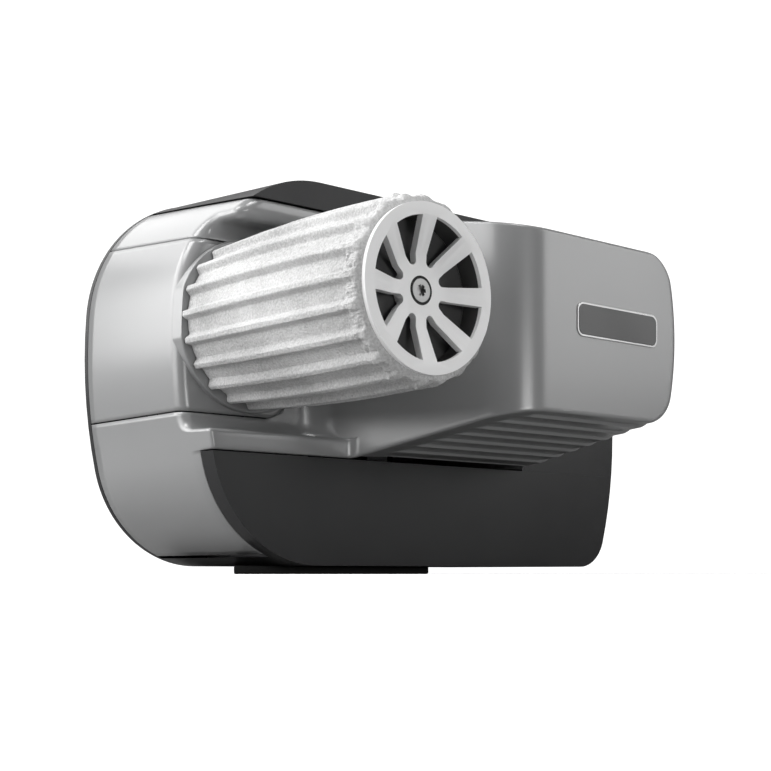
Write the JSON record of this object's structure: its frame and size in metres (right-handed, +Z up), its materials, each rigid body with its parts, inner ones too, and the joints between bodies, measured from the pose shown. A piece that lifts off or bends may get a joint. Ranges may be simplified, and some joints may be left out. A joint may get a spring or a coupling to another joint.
{
  "type": "caravan motor mover",
  "caption": "Caravan motor mover drive unit: a motor-driven ribbed roller in a grey housing that slides towards the tyre in a black frame with a chassis plate.",
  "frame": {"origin": "centre of the foot's underside", "axes": "+Z up, +Y from the roller's free end towards the chassis plate, -X towards the tyre"},
  "size_m": [0.2957, 0.208, 0.1925],
  "materials": {
    "black_steel": "black powder coat",
    "black_plastic": "satin black moulded plastic",
    "black_rubber": "black rubber",
    "bracket_aluminium": "milled aluminium",
    "ground_steel": "ground steel",
    "bronze": "sintered bronze",
    "motor_steel": "dark plated steel",
    "zinc_steel": "zinc-plated steel",
    "grey_shell": "satin silver-grey lacquered die casting",
    "cast_aluminium": "as-cast aluminium",
    "roller_grit": "light grey grit coating on aluminium",
    "cap_plastic": "light grey moulded plastic",
    "gear_steel": "cut steel",
    "copper_winding": "lacquered copper winding on steel laminations",
    "gear_plastic": "natural nylon"
  },
  "bodies": {
    "frame": {"rear_plate": "black_steel", "front_panel": "black_plastic", "bottom_pan": "black_steel", "top_cover": "black_plastic", "end_cover": "black_plastic", "foot": "black_rubber", "rod_bracket": "bracket_aluminium", "end_bracket": "bracket_aluminium", "guide_rods": "ground_steel", "spindle_bushes": "bronze", "engage_motor": "motor_steel", "cable_gland": "black_plastic", "gland_nut": "black_plastic", "pan_screws": "zinc_steel"},
    "drive_unit": {"upper_shell": "grey_shell", "gearbox_cover": "grey_shell", "lower_shell": "grey_shell", "motor_housing": "grey_shell", "gear_case": "cast_aluminium", "lid_gasket": "black_rubber", "gear_lid": "cast_aluminium", "lid_screws": "zinc_steel", "front_bearing": "ground_steel", "rear_bearing": "ground_steel", "shaft_seal": "black_rubber", "idler_pin": "ground_steel", "motor_can": "motor_steel", "motor_end_cap": "motor_steel", "motor_end_bell": "cast_aluminium", "motor_bearing": "ground_steel", "motor_screws": "zinc_steel", "carriage": "bracket_aluminium", "slide_bushes": "bronze", "spindle_nut": "bronze", "carriage_bolts": "zinc_steel"},
    "roller": {"roller": "roller_grit", "hub_cap": "cap_plastic", "roller_end_plate": "motor_steel", "hub_screw": "zinc_steel", "roller_shaft": "ground_steel", "shaft_key": "ground_steel", "final_gear": "gear_steel"},
    "idler": {"idler_gear": "gear_steel", "idler_bush": "bronze"},
    "motor_rotor": {"motor_shaft": "ground_steel", "motor_armature": "copper_winding", "motor_pinion": "gear_steel"},
    "spindle": {"spindle": "ground_steel", "spindle_gear": "gear_plastic"},
    "engage_rotor": {"engage_pinion": "gear_steel", "engage_shaft": "ground_steel"}
  },
  "joints": [
    {"name": "engage_slide", "type": "slide", "parent": "frame", "child": "drive_unit", "axis": [-1, 0, 0], "range_m": [0, 0.04]},
    {"name": "roller_spin", "type": "hinge", "parent": "drive_unit", "child": "roller", "pos_m": [-0.055, 0, 0.11575], "axis": [0, 1, 0], "continuous": true},
    {"name": "idler_spin", "type": "hinge", "parent": "drive_unit", "child": "idler", "pos_m": [0.013, 0, 0.11575], "axis": [0, 1, 0], "continuous": true},
    {"name": "motor_spin", "type": "hinge", "parent": "drive_unit", "child": "motor_rotor", "pos_m": [0.067, 0, 0.11575], "axis": [0, 1, 0], "continuous": true},
    {"name": "spindle_turn", "type": "hinge", "parent": "frame", "child": "spindle", "pos_m": [0, 0, 0.028], "axis": [1, 0, 0], "range_deg": [-1, 1441]},
    {"name": "engage_motor_turn", "type": "hinge", "parent": "frame", "child": "engage_rotor", "pos_m": [0.13, 0, 0.052], "axis": [1, 0, 0], "range_deg": [-1441, 1]}
  ],
  "couplings": [
    {"joint": "idler_spin", "follows": "roller_spin", "ratio": -0.78947},
    {"joint": "motor_spin", "follows": "roller_spin", "ratio": 1.875},
    {"joint": "spindle_turn", "follows": "engage_slide", "rad_per_m": 628.32},
    {"joint": "engage_motor_turn", "follows": "engage_slide", "rad_per_m": -628.32}
  ]
}
